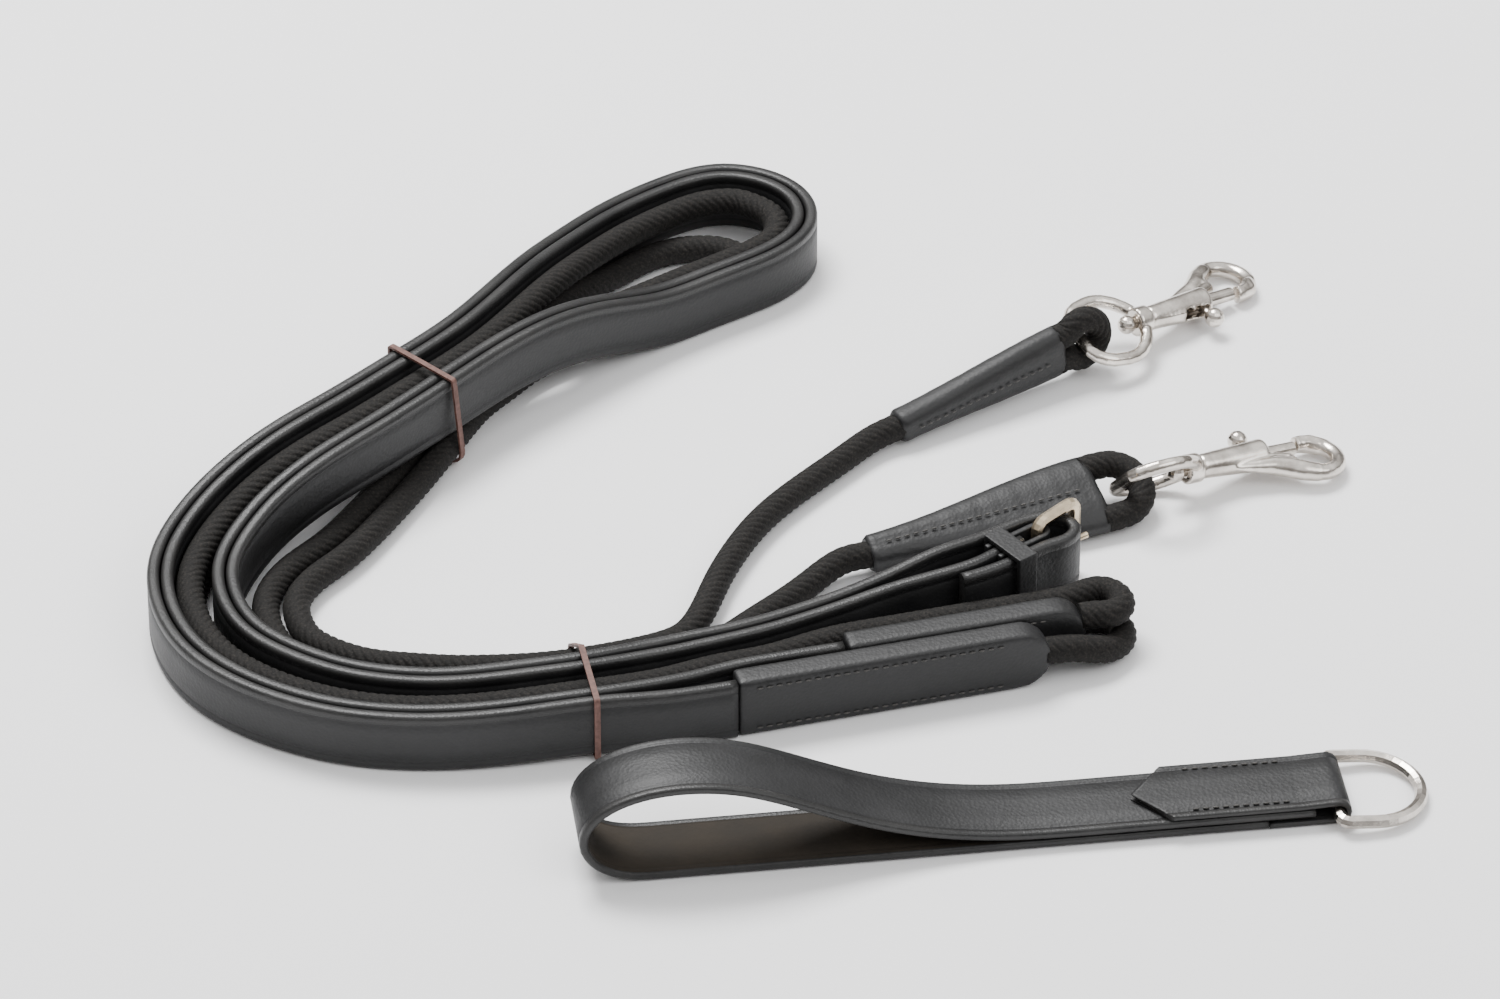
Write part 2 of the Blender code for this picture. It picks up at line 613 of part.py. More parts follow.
def snap_body(name, snap, parts, cutters):
    """The barrel with its hook; a bore for the bolt and a slot for the knob's stem."""
    _, place = snap_frames(snap)
    barrel = cylinder(name, (0, 0, 0), (BARREL_LENGTH, 0, 0), BARREL_R, 24)
    bevel(barrel, 1.0, 2)
    barrel = as_mesh(barrel)
    neck = [(19, -3.0, 0), (24, -3.9, 0)] + arc(HOOK_CENTRE, HOOK_R, 172, 460, 22)
    hook = as_mesh(tube(name + " hook", scaled(neck), HOOK_WIRE_R))
    bore = cylinder(name + " bore", (BOLT_FROM - BOLT_TRAVEL - 0.5, 0, 0), (BOLT_TO + 0.2, 0, 0), BOLT_R + FIT)
    stem_bore = cylinder(name + " stem bore", (-3, 0, 0), (3.0, 0, 0), STEM_R + FIT)
    slot = box(name + " slot", (KNOB_X - BOLT_TRAVEL - 1.8, 0, -1.7), (KNOB_X + 1.8, 8, 1.7))
    for obj in (barrel, hook, bore, stem_bore, slot):
        obj.matrix_world = place
    boolean(barrel, hook, "UNION", cutters)
    for cutter in (bore, stem_bore, slot):
        boolean(barrel, cutter, "DIFFERENCE", cutters)
    return finish(barrel, nickel("Nickel, " + name), parts)


def bolt(name, snap, parts, cutters):
    """The sliding bolt that shuts the hook, with the stem and knob that draw it back."""
    _, place = snap_frames(snap)
    rod = cylinder(name, (BOLT_FROM, 0, 0), (BOLT_TO, 0, 0), BOLT_R)
    bevel(rod, 0.4)
    rod = as_mesh(rod)
    stem = cylinder(name + " stem", (KNOB_X, 0, 0), (KNOB_X, 8.5, 0), 1.3, 16)
    knob = ball(name + " knob", (KNOB_X, 9.4, 0), 3.2)
    for obj in (rod, stem, knob):
        obj.matrix_world = place
    boolean(rod, stem, "UNION", cutters)
    boolean(rod, knob, "UNION", cutters)
    return finish(rod, nickel("Nickel, " + name), parts)


# ---- the buckle ----
def buckle_place(yaw):
    return frame_at((*BUCKLE_PIVOT, BUCKLE_Z), yaw)


def buckle_frame(parts):
    """An upright rectangle of brassy wire; its left bar is the pivot."""
    corner, reach, half = 3.0, BUCKLE_LENGTH, BUCKLE_HALF
    path = []
    for x, y, first in ((reach - corner, half - corner, 90), (reach - corner, corner - half, 0),
                        (corner, corner - half, -90), (corner, half - corner, -180)):
        path += arc((x, y), corner, first, first - 90, 5)
    points = [Vector((x, 0, z)) * MM for x, z, _ in path]
    obj = tube("buckle_frame", points, BUCKLE_WIRE_R, cyclic=True)
    obj.matrix_world = buckle_place(BUCKLE_YAW)
    return finish(obj, material("Brass, frame", (0.62, 0.52, 0.36), 0.3, 1.0), parts)


def buckle_tongue(parts, cutters):
    """A pin with an eye round the pivot bar; its tip lies on the near face of the end bar."""
    place = buckle_place(BUCKLE_YAW)
    eye_r = BUCKLE_WIRE_R + FIT + TONGUE_R
    ring = as_mesh(tube("buckle_tongue", scaled(arc((0, 0), eye_r, 0, 345, 24)), TONGUE_R, cyclic=True))
    tip = (BUCKLE_LENGTH + 2.0, -(BUCKLE_WIRE_R + TONGUE_R + 2 * FIT), 0)
    pin = cylinder("buckle_tongue pin", (eye_r - 0.6, 0, 0), tip, TONGUE_R, 14)
    for obj in (ring, pin):
        obj.matrix_world = place
    boolean(ring, pin, "UNION", cutters)
    return finish(ring, material("Brass, tongue", (0.62, 0.52, 0.36), 0.3, 1.0), parts)


def buckle_chape(parts, cutters):
    """The doubled leather tab that holds the buckle to its rein, with a slot for the tongue."""
    r = BUCKLE_WIRE_R + FIT + CHAPE_THICK / 2
    level = (BUCKLE_HALF - BUCKLE_WIRE_R - FIT)
    path = [(-CHAPE_LENGTH, -r, 0), (-CHAPE_LENGTH / 2, -r, 0)] + arc((0, 0), r, -90, 90, 11)
    path += [(-CHAPE_LENGTH / 2, r, 0), (-CHAPE_LENGTH, r, 0)]
    points = [Vector((x * MM, y * MM, -level * MM)) for x, y, _ in path]
    obj = ribbon("buckle_chape", points, Vector((0, 0, 2 * level * MM)), CHAPE_THICK)
    room = TONGUE_R + 0.5
    slot = box("buckle_chape slot", (-5.4, -8, -room), (8, 8, room))
    for item in (obj, slot):
        item.matrix_world = buckle_place(CHAPE_YAW)
    boolean(obj, slot, "DIFFERENCE", cutters)
    return finish(obj, black_leather("Leather, chape"), parts)


def billet_hole(billet, cutters):
    """The hole the tongue passes through, wide enough for the tongue to rock."""
    slope = -(BUCKLE_WIRE_R + TONGUE_R + 2 * FIT) / (BUCKLE_LENGTH + 2.0)
    hole = cylinder("billet hole", (4.4, 4.4 * slope, 0), (13.6, 13.6 * slope, 0), 2.2)
    hole.matrix_world = buckle_place(BUCKLE_YAW)
    boolean(billet, hole, "DIFFERENCE", cutters)


def keeper(parts):
    """A leather loop that holds the billet's tip against the buckle's rein."""
    low, high, wall = -9.7, 4.5, 1.5
    x, half = -16.0, REIN_WIDTH / 2 + FIT + 0.1
    outline = [(low, -half), (high, -half), (high, half), (low, half)]
    offset = wall / 2
    grown = [(y + math.copysign(offset, y + 2.6), z + math.copysign(offset, z)) for y, z in outline]
    points = [Vector((x * MM, y * MM, z * MM)) for y, z in grown]
    obj = ribbon("keeper", points, Vector((7.0 * MM, 0, 0)), wall, closed=True)
    obj.matrix_world = buckle_place(CHAPE_YAW)
    return finish(obj, black_leather("Leather, keeper"), parts)


# ---- the girth strap ----
def girth_frame():
    return frame_at((*GIRTH_LEFT, 0), GIRTH_YAW)


def girth_strap(parts):
    line = by_bend(smooth_line([(x, 0, z) for x, z in GIRTH_LINE]), 22.0, math.radians(11))
    points = [Vector((x * MM, -GIRTH_WIDTH / 2 * MM, z * MM)) for x, _, z in line]
    obj = ribbon("girth_strap", points, Vector((0, GIRTH_WIDTH * MM, 0)), GIRTH_THICK)
    obj.matrix_world = girth_frame()
    return finish(obj, black_leather("Leather, girth strap"), parts)


def girth_chape(parts):
    """The lap of thinner leather sewn on top of the strap, round the D-ring and back under."""
    x, _, z = RING_AT
    r = WIRE_R + FIT + LAP_THICK / 2
    top = GIRTH_LINE[-1][1] + GIRTH_THICK / 2 + FIT + LAP_THICK / 2
    around = [(p[0], p[1]) for p in arc((x, z), r, 90, -90, 11)]
    path = [(LAP_START, top), (GIRTH_END - 4, top)] + around + [(LAP_END + 0.4, z - r)]
    points = [Vector((a * MM, -GIRTH_WIDTH / 2 * MM, b * MM)) for a, b in path]
    obj = ribbon("girth_chape", points, Vector((0, GIRTH_WIDTH * MM, 0)), LAP_THICK)
    obj.matrix_world = girth_frame()
    return finish(obj, black_leather("Leather, girth chape"), parts)


def ring_frame():
    dip = math.asin((RING_AT[2] - WIRE_R - 0.1) / RING_DEPTH)
    place = Matrix.Translation(Vector(RING_AT) * MM)
    return girth_frame() @ place @ Matrix.Rotation(dip, 4, "Y")


def d_ring(parts):
    obj = tube("d_ring", scaled(d_shape(RING_HALF, RING_DEPTH)), WIRE_R, cyclic=True)
    obj.matrix_world = ring_frame()
    return finish(obj, nickel("Nickel, D-ring"), parts)


def build():
    clear_scene()
    parts = new_collection("leather reins")
    cutters = new_collection("guides")
    out = smooth_line(OUTER_OUT)
    reins = [outer_rein_line(out), inner_rein_line(out)]
    cords = [near_cord_line(out), far_cord_line(out)]

    billet = rein("leather_rein_billet", reins[0], parts)
    billet_hole(billet, cutters)
    rein("leather_rein_buckle", reins[1], parts)
    cord("cord_near", cords[0], parts)
    cord("cord_far", cords[1], parts)
    cord_sleeve("cord_sleeve_near", (-4.4, -117.0), 97.0, parts)
    cord_sleeve("cord_sleeve_far", (28.5, -98.4), 74.2, parts)
    for side, snap in (("upper", UPPER_SNAP), ("lower", LOWER_SNAP)):
        snap_sleeve("snap_sleeve_" + side, snap, parts)
        cord_loop("cord_loop_" + side, snap, parts)
        snap_eye("snap_eye_" + side, snap, parts, cutters)
        swivel_stem("swivel_stem_" + side, snap, parts, cutters)
        snap_body("snap_body_" + side, snap, parts, cutters)
        bolt("bolt_" + side, snap, parts, cutters)
    buckle_frame(parts)
    buckle_tongue(parts, cutters)
    buckle_chape(parts, cutters)
    keeper(parts)
    girth_strap(parts)
    girth_chape(parts)
    d_ring(parts)
    for name, station in zip(("rubber_band_upper", "rubber_band_lower"), BAND_STATIONS):
        rubber_band(name, out, station, band_rows(out, station, reins, cords), parts)


build()
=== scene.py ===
"""The looks of a folded pair of draw reins: twisted cords, creased leather, rubber bands and plated hardware.

Metres in the frame, +Z up. Lengths and route points below are in millimetres and become metres through MM.
"""
import math

import bmesh
import bpy
import numpy as np
from mathutils import Matrix, Vector


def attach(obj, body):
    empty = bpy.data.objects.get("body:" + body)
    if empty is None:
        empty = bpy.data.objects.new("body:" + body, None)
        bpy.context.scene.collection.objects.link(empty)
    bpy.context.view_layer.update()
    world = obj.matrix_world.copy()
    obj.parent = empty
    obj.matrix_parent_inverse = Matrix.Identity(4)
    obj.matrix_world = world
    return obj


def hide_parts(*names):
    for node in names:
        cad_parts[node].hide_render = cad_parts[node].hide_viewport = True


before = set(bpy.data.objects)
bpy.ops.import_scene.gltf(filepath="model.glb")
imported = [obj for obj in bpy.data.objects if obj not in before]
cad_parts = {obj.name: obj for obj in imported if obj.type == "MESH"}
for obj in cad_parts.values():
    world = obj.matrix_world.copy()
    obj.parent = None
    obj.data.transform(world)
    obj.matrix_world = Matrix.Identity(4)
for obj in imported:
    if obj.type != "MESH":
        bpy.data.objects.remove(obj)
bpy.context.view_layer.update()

MM = 0.001

# ---- driving dimensions, mm ----
CENTRE = (8.9, -16.8)        # the layout point at the frame's origin
FIT = 0.3                    # clearance between neighbouring pieces
REIN_WIDTH = 20.0
REIN_THICK = 3.8
CORD_D = 8.6
CORD_Z = CORD_D / 2 + 0.1    # middle of a cord that lies on the surface
STACKED_Z = CORD_Z + CORD_D + 0.4    # and of one that lies on another cord
INNER_BESIDE = 4.3           # the inner rein's distance beside the outer one
CORD_BESIDE = 11.1           # the cords' distance beside the outer rein
STRANDS = 8                  # ribs round the cord
STRAND_LAY = 24.0            # length of one full twist
ROPE_WAIST, ROPE_LOBE = 0.92, 0.08   # radius in a groove and a rib's height, as shares of the cord's radius
TUCK = 2.5                   # how far a cord runs into the leather that holds it
EYE_DEPTH = 25.0
HUB_BEYOND_EYE = 2.5         # from the eye's end to the snap body's hub
BORE_ROOM = 1.2              # a casting's bore and slot are opened by these factors before it is smoothed
SLOT_ROOM = 1.25
BUCKLE_PIVOT = (87.3, -49.4)
BUCKLE_Z = 14.5
BUCKLE_LENGTH = 17.0
BUCKLE_WIRE_R = 1.9
TONGUE_R = 1.0
BUCKLE_YAW = math.radians(46)
HOLE_R = 2.2
HOLE_SPAN = (4.4, 13.6)      # where the billet's hole is cut from and to, along the tongue from its pivot
GIRTH_WIDTH = 25.0
GIRTH_THICK = 2.6
GIRTH_YAW = math.atan(0.133)
GIRTH_LEFT = (-52.0, -180.2)
GIRTH_END = 219.0
LAP_END = 205.0
LAP_THICK = 1.7
LAP_POINT = 165.5            # the lap's pointed tip, from the loop's left end
LAP_POINT_DEPTH = 11.0
WIRE_R = 2.0
RING_AT = (226.0, -1.0, 4.1)
CORD_SLEEVE_YAW = math.atan(0.2792)
CORD_SLEEVE_Z = 10.0
CORD_SLEEVES = {             # starting point, length
    "cord_sleeve_near": ((-4.4, -117.0), 97.0),
    "cord_sleeve_far": ((28.5, -98.4), 74.2),
}
FACE_SLOT, EDGE_SLOT, FLESH_SLOT = 0, 1, 2    # material slots of a strap
FLOOR_Z = -0.3               # just under the set, so that nothing shares the floor's plane
CAMERA_TILT = math.radians(36.0)
CAMERA_DISTANCE = 2.6        # m
CAMERA_LENS, CAMERA_SENSOR = 200.9, 36.0

# Middle line of the outer rein from its cord sleeve, round the hank, back to the upper band: x, y, lift.
OUTER_OUT = [
    (-4, -119.7, 0), (-25, -125.5, 0.6), (-45, -129.4, 1.5), (-70, -134, 0.8), (-98, -136, 0),
    (-125, -132, 0), (-150, -120, 0), (-168, -103, 0), (-178, -82, 0), (-181, -60, 0), (-177, -40, 0.8),
    (-166, -20, 4), (-149, -2, 8.6), (-131, 15, 10), (-112, 34.5, 10.7), (-95, 54, 10.7),
    (-82, 75, 9.7), (-71, 96, 7), (-60, 115, 3.5), (-47, 133, 1), (-29, 149, 0), (-10, 157, 0),
    (8, 152, 0), (18, 140, 0), (19, 124, 0), (9, 109, 0), (-9, 96, 0), (-28, 82.5, 1), (-46, 69, 6.5),
    (-63, 54.5, 10.2), (-79, 38.5, 10.7), (-94, 21, 10.7),
]
# Its other end, from the lower band to the buckle, where it is the billet.
BILLET_END = [
    (-23, -97.2, 0), (-9, -92.4, 0), (3, -87.6, 0), (27, -76, 1), (45, -66, 3), (57, -58.8, 4.5),
    (70, -51.6, 4.5), (79.7, -45.2, 4.5), (87.6, -41.2, 4.5), (95, -41.6, 4.5), (99, -46.6, 4.5),
    (96, -52.4, 4.5), (91, -55, 4.5), (83, -61, 4.5), (75, -66.7, 4.5), (68, -70.6, 4.5),
    (64, -72.4, 4.5),
]
# The inner rein lies inside the outer one, apart from its ends at the far sleeve and at the buckle.
INNER_START = [(28, -100.7, 0), (8, -106, 0), (-7, -110.8, 0), (-20, -116.8, 0.5)]
BUCKLE_END = [
    (-21, -101.8, 0), (-7, -96.6, 0), (4, -92.2, 0), (27, -81.7, 1), (45, -74, 3), (66.8, -65.4, 4.5),
    (74.7, -59.3, 4.5), (82.6, -53.1, 4.5),
]
# Return run of both reins in the hank: station along the outer rein, distance beside it.
RETURN_BESIDE = [(45, 22.2), (90, 22.4), (150, 24.0), (285, 24.0), (345, 22.4)]

# Near cord: from the near sleeve, round behind both sleeves, along the hank, and on to the lower snap.
NEAR_CORD_START = [
    (90.7, -90.8, 10), (97, -89, 9.3), (104, -87, 7.4), (110, -83, 5.2), (113, -76.5, 4.4),
    (111, -70.3, 4.4), (104.5, -68, 4.4), (96, -70.2, 4.4), (80, -74.6, 4.4), (60, -80.1, 4.4),
    (40, -85.7, 4.4), (22, -91.5, 4.4), (6.2, -99.2, 4.4), (-10.8, -104.8, 4.5), (-27, -112, 5.1),
]
NEAR_CORD_ARCH = [
    (-45, 113.5, 5.4), (-37, 122.5, 4.4), (-27, 129.5, 4.4), (-15, 132, 4.4), (-6, 129.5, 4.4),
    (-1.5, 123, 4.4), (-3.5, 115.5, 4.4),
]
NEAR_CORD_UNDER = [(-54.6, 82.6, 4.4), (-66.5, 78.2, 4.4), (-78.2, 70.4, 4.4), (-92.2, 49, 4.8)]
NEAR_CORD_BESIDE = [
    (345, 13.2, 6), (328, 18.5, 4.8), (310, 24.8, 4.4), (295, 30.2, 4.4), (280, 33.4, 4.4),
    (150, 34, 4.4), (100, 35, 4.4), (70, 32, 4.8), (43, 29.3, 6),
]
NEAR_CORD_END = [(-25, -90.8, 4.8), (-10, -80.5, 4.4), (0, -70, 4.4), (9, -60.5, 4.4), (18, -50.5, 4.8)]
# Far cord: from the far sleeve, on top of the near cord, along the hank, and on to the upper snap.
FAR_CORD_START = [
    (101.9, -78.2, 13.5), (104.5, -77.7, 13.5), (108.5, -77.3, 13.5), (111.7, -75, 13.5),
    (112.4, -70.8, 13.5), (110.2, -66.7, 13.4), (105.5, -65, 13.4), (100.5, -67.2, 13.4),
    (96, -69.8, 13.4), (80, -74.6, 13.4), (60, -80.1, 13.4), (40, -85.7, 13.4), (22, -91.5, 13.4),
    (6.2, -99.2, 13.4), (-10.8, -104.8, 13.5), (-27, -112, 13.9),
]
FAR_CORD_ARCH = [(0, 143.5, 13.4), (7, 137, 13.4), (8.5, 128, 13.4), (4.5, 120, 13.4)]
FAR_CORD_UNDER = [
    (-52.7, 77.6, 12.2), (-61, 70.2, 6.8), (-69.5, 62.2, 5.3), (-77, 52.3, 5.3), (-84.7, 41.3, 5.5),
]
FAR_CORD_BESIDE = [
    (345, 22.6, 6), (328, 28.1, 4.8), (310, 34.3, 4.4), (295, 39.8, 4.4), (280, 42.9, 4.4),
    (150, 43.2, 4.4), (100, 44.3, 4.4), (70, 41.5, 4.8), (43, 38.5, 6),
]
FAR_CORD_END = [
    (-28.5, -82, 4.7), (-19, -74.5, 4.4), (-13.4, -60.7, 4.4), (-9.8, -47.9, 4.4), (-3.1, -30, 4.4),
    (6.2, -12.8, 4.4), (18.6, 3.2, 4.4), (29.5, 16, 4.4),
]

# Snap sleeves: the cord loop's centre and size, the sleeve behind it, and how the snap hangs in the loop.
UPPER_SNAP = {
    "loop": (104.5, 69.2, 12.6), "loop_r": 7.0, "leg": 4.6, "front": 8.3, "wide": 18.5, "mouth": 11.0,
    "sleeve": 70.5, "sleeve_yaw": math.radians(33.4), "sleeve_roll": math.radians(90), "sleeve_drop": 6.8,
    "bar_ahead": 0.0, "bar_up": 0.0, "bar_aside": 0.0, "yaw": math.radians(37), "pitch": math.radians(7.8),
    "body_roll": math.radians(180),
}
LOWER_SNAP = {
    "loop": (111.8, -6.6, 8.5), "loop_r": 9.7, "leg": 9.7, "front": 5.0, "wide": 25.0, "mouth": 12.4,
    "sleeve": 82.0, "sleeve_yaw": math.radians(22.5), "sleeve_roll": math.radians(20), "sleeve_drop": 1.8,
    "bar_ahead": 1.6, "bar_up": 5.3, "bar_aside": -4.6, "yaw": math.radians(29.5), "pitch": math.radians(8.3),
    "body_roll": 0.0,
}

# Girth strap's middle line in its own upright plane: distance from the left end, height.
GIRTH_LINE = [
    (LAP_END, 1.4), (160, 1.4), (100, 1.4), (50, 1.4), (28, 1.4), (14, 2.4), (5, 7.6), (2, 15),
    (5, 22.5), (13, 28.3), (25, 31.4), (38, 31.4), (50, 29), (63, 24), (75, 18.6), (86, 14), (95, 10.9),
    (105, 8.2), (117, 6), (130, 4.7), (145, 4.3), (170, 4.3), (GIRTH_END, 4.3),
]


# ---- lines ----
def smooth_line(points):
    """A natural cubic spline through the points, as stations 1 mm apart."""
    p = np.array(points, float)
    knots = np.concatenate([[0], np.cumsum(np.sqrt(np.linalg.norm(np.diff(p, axis=0), axis=1)))])
    h = np.diff(knots)
    n = len(p)
    system = np.eye(n)
    right = np.zeros(p.shape)
    for i in range(1, n - 1):
        system[i, i - 1], system[i, i], system[i, i + 1] = h[i - 1], 2 * (h[i - 1] + h[i]), h[i]
        right[i] = 6 * ((p[i + 1] - p[i]) / h[i] - (p[i] - p[i - 1]) / h[i - 1])
    bend = np.linalg.solve(system, right)
    runs = []
    for i in range(n - 1):
        count = max(6, int(4 * np.linalg.norm(p[i + 1] - p[i])))
        u = np.linspace(0, h[i], count, endpoint=i == n - 2)[:, None]
        v = h[i] - u
        runs.append(
            (bend[i] * v ** 3 + bend[i + 1] * u ** 3) / (6 * h[i])
            + (p[i] / h[i] - bend[i] * h[i] / 6) * v
            + (p[i + 1] / h[i] - bend[i + 1] * h[i] / 6) * u
        )
    return evenly(np.concatenate(runs), 1.0)


def evenly(line, step):
    """The line's points moved to equal steps along it."""
    along = np.concatenate([[0], np.cumsum(np.linalg.norm(np.diff(line, axis=0), axis=1))])
    stations = np.linspace(0, along[-1], int(round(along[-1] / step)) + 1)
    return np.stack([np.interp(stations, along, line[:, k]) for k in range(line.shape[1])], axis=1)


def beside(line, station, distance):
    """The point at a station of the line, moved level to the right of its direction."""
    here, ahead, behind = line[station], line[min(station + 2, len(line) - 1)], line[max(station - 2, 0)]
    run = ahead[:2] - behind[:2]
    right = np.array([run[1], -run[0]]) / np.linalg.norm(run)
    return (here[0] + distance * right[0], here[1] + distance * right[1], here[2])


def along_table(table, station):
    """Values between the rows of a table whose first column is a station; the rows may run either way."""
    stations, *columns = zip(*sorted(table))
    return [float(np.interp(station, stations, column)) for column in columns]


def outer_rein_line(out):
    back = [beside(out, s, along_table(RETURN_BESIDE, s)[0]) for s in range(330, 44, -15)]
    return smooth_line(OUTER_OUT + back + BILLET_END)


def inner_rein_line(out):
    there = [beside(out, s, INNER_BESIDE) for s in range(45, 705, 14)]
    back = [beside(out, s, along_table(RETURN_BESIDE, s)[0] - INNER_BESIDE) for s in range(330, 44, -15)]
    return smooth_line(INNER_START + there + back + BUCKLE_END)


def cord_up(out, first, last, height):
    """A cord's run up the hank, inside the outer rein."""
    points = [beside(out, s, CORD_BESIDE) for s in range(first, last, 18)]
    return [(x, y, z + height) for x, y, z in points]


def cord_back(out, table):
    """A cord's run back down the hank, at the distances and heights of a table."""
    points = []
    for s in range(345, 42, -20):
        distance, z = along_table(table, s)
        x, y, _ = beside(out, s, distance)
        points.append((x, y, z))
    return points


def near_leg(out, height):
    """A cord beside the outer rein, after the arch and before it goes under the hank."""
    return [(*beside(out, s, CORD_BESIDE)[:2], height) for s in (596, 612, 628)]


def near_cord_line(out):
    return smooth_line(
        NEAR_CORD_START + cord_up(out, 45, 430, CORD_Z) + NEAR_CORD_ARCH
        + near_leg(out, CORD_Z) + NEAR_CORD_UNDER + cord_back(out, NEAR_CORD_BESIDE)
        + NEAR_CORD_END + [sleeve_mouth(LOWER_SNAP, gap) for gap in (9, 0.7)]
    )


def far_cord_line(out):
    return smooth_line(
        FAR_CORD_START + cord_up(out, 45, 516, STACKED_Z) + FAR_CORD_ARCH
        + near_leg(out, STACKED_Z) + FAR_CORD_UNDER + cord_back(out, FAR_CORD_BESIDE)
        + FAR_CORD_END + [sleeve_mouth(UPPER_SNAP, gap) for gap in (9, 0.7)]
    )


# ---- shapes ----
def to_world(point):
    return Vector(((point[0] - CENTRE[0]) * MM, (point[1] - CENTRE[1]) * MM, point[2] * MM))


def frame_at(point, yaw=0.0, pitch=0.0, roll=0.0):
    """A placement: X along the heading, pitched nose down, then rolled about its own X."""
    turn = Matrix.Rotation(yaw, 4, "Z") @ Matrix.Rotation(pitch, 4, "Y") @ Matrix.Rotation(roll, 4, "X")
    return Matrix.Translation(to_world(point)) @ turn


def sleeve_frame(snap):
    rise = math.asin(snap["sleeve_drop"] / snap["sleeve"])
    return frame_at(snap["loop"], snap["sleeve_yaw"], -rise, snap["sleeve_roll"])


def sleeve_mouth(snap, before):
    """The point a distance before the sleeve's mouth, on its axis, in layout millimetres."""
    mouth = sleeve_frame(snap) @ Vector((-(snap["sleeve"] + before) * MM, 0, 0))
    return (mouth.x / MM + CENTRE[0], mouth.y / MM + CENTRE[1], mouth.z / MM)


def new_object(name, bm):
    mesh = bpy.data.meshes.new(name)
    bm.to_mesh(mesh)
    bm.free()
    obj = bpy.data.objects.new(name, mesh)
    bpy.context.scene.collection.objects.link(obj)
    return obj


def loft(name, rings, slots=None):
    """Skin a row of closed rings, with flat ends; slots gives each side face its material."""
    bm = bmesh.new()
    rows = [[bm.verts.new(p) for p in ring] for ring in rings]
    count = len(rows[0])
    for a, b in zip(rows, rows[1:]):
        for k in range(count):
            face = bm.faces.new((a[k], a[(k + 1) % count], b[(k + 1) % count], b[k]))
            face.smooth = True
            face.material_index = slots[k] if slots else 0
    for end in (rows[0][::-1], rows[-1]):
        bm.faces.new(end).material_index = EDGE_SLOT if slots else 0
    bmesh.ops.recalc_face_normals(bm, faces=bm.faces)
    return new_object(name, bm)


def directions(line):
    ahead = np.gradient(line, axis=0)
    return ahead / np.linalg.norm(ahead, axis=1)[:, None]


def carried_frames(line):
    """A line's directions, and a side vector at each of its points, carried along without twist."""
    ahead = directions(line)
    side = np.cross(ahead[0], (0, 0, 1.0))
    side /= np.linalg.norm(side)
    sides = []
    for t in ahead:
        side = side - (side @ t) * t
        side = side / np.linalg.norm(side)
        sides.append(side)
    return ahead, np.array(sides)


# ---- materials ----
def shader_material(name, roughness, metallic=0.0):
    mat = bpy.data.materials.new(name)
    mat.use_nodes = True
    shader = mat.node_tree.nodes["Principled BSDF"]
    shader.inputs["Roughness"].default_value = roughness
    shader.inputs["Metallic"].default_value = metallic
    return mat, mat.node_tree, shader


def node(tree, kind, **inputs):
    made = tree.nodes.new(kind)
    for key, value in inputs.items():
        made.inputs[key.replace("_", " ")].default_value = value
    return made


def ramp(tree, source, stops):
    made = tree.nodes.new("ShaderNodeValToRGB")
    made.color_ramp.elements[0].position = stops[0][0]
    made.color_ramp.elements[0].color = (*stops[0][1], 1)
    made.color_ramp.elements[1].position = stops[-1][0]
    made.color_ramp.elements[1].color = (*stops[-1][1], 1)
    for place, colour in stops[1:-1]:
        made.color_ramp.elements.new(place).color = (*colour, 1)
    tree.links.new(source, made.inputs["Fac"])
    return made.outputs["Color"]


def object_noise(tree, scale, detail=4.0):
    where = tree.nodes.new("ShaderNodeTexCoord")
    noise = node(tree, "ShaderNodeTexNoise", Scale=scale, Detail=detail)
    tree.links.new(where.outputs["Object"], noise.inputs["Vector"])
    return noise.outputs["Fac"], where


def bump(tree, shader, height, strength, distance, under=None):
    made = node(tree, "ShaderNodeBump", Strength=strength, Distance=distance)
    tree.links.new(height, made.inputs["Height"])
    if under is not None:
        tree.links.new(under, made.inputs["Normal"])
    tree.links.new(made.outputs["Normal"], shader.inputs["Normal"])
    return made.outputs["Normal"]


def leather(name, dark, light, roughness=0.5, grain=900.0):
    """Grained leather: pebbled cells over fine pores, with slow wear that makes it paler and duller."""
    mat, tree, shader = shader_material(name, roughness)
    shader.inputs["Specular IOR Level"].default_value = 0.42
    wear, where = object_noise(tree, 60.0, 6.0)
    tree.links.new(ramp(tree, wear, [(0.3, dark), (0.72, light)]), shader.inputs["Base Color"])
    gloss = node(tree, "ShaderNodeMapRange", To_Min=roughness - 0.08, To_Max=roughness + 0.1)
    tree.links.new(wear, gloss.inputs["Value"])
    tree.links.new(gloss.outputs["Result"], shader.inputs["Roughness"])
    cells = node(tree, "ShaderNodeTexVoronoi", Scale=grain)
    tree.links.new(where.outputs["Object"], cells.inputs["Vector"])
    first = bump(tree, shader, cells.outputs["Distance"], 0.25, 0.0003)
    pores, _ = object_noise(tree, 2600.0, 3.0)
    bump(tree, shader, pores, 0.2, 0.0002, first)
    return mat


def rope_fibre(name):
    """Twisted brown-black yarn: fine fuzz in colour and bump, rough all over."""
    mat, tree, shader = shader_material(name, 0.82)
    fuzz, _ = object_noise(tree, 1400.0, 6.0)
    stops = [
        (0.3, (0.0025, 0.0022, 0.002)),
        (0.52, (0.0075, 0.0066, 0.0058)),
        (0.75, (0.024, 0.0205, 0.0175)),
    ]
    tree.links.new(ramp(tree, fuzz, stops), shader.inputs["Base Color"])
    shader.inputs["Specular IOR Level"].default_value = 0.3
    bump(tree, shader, fuzz, 0.6, 0.0004)
    return mat


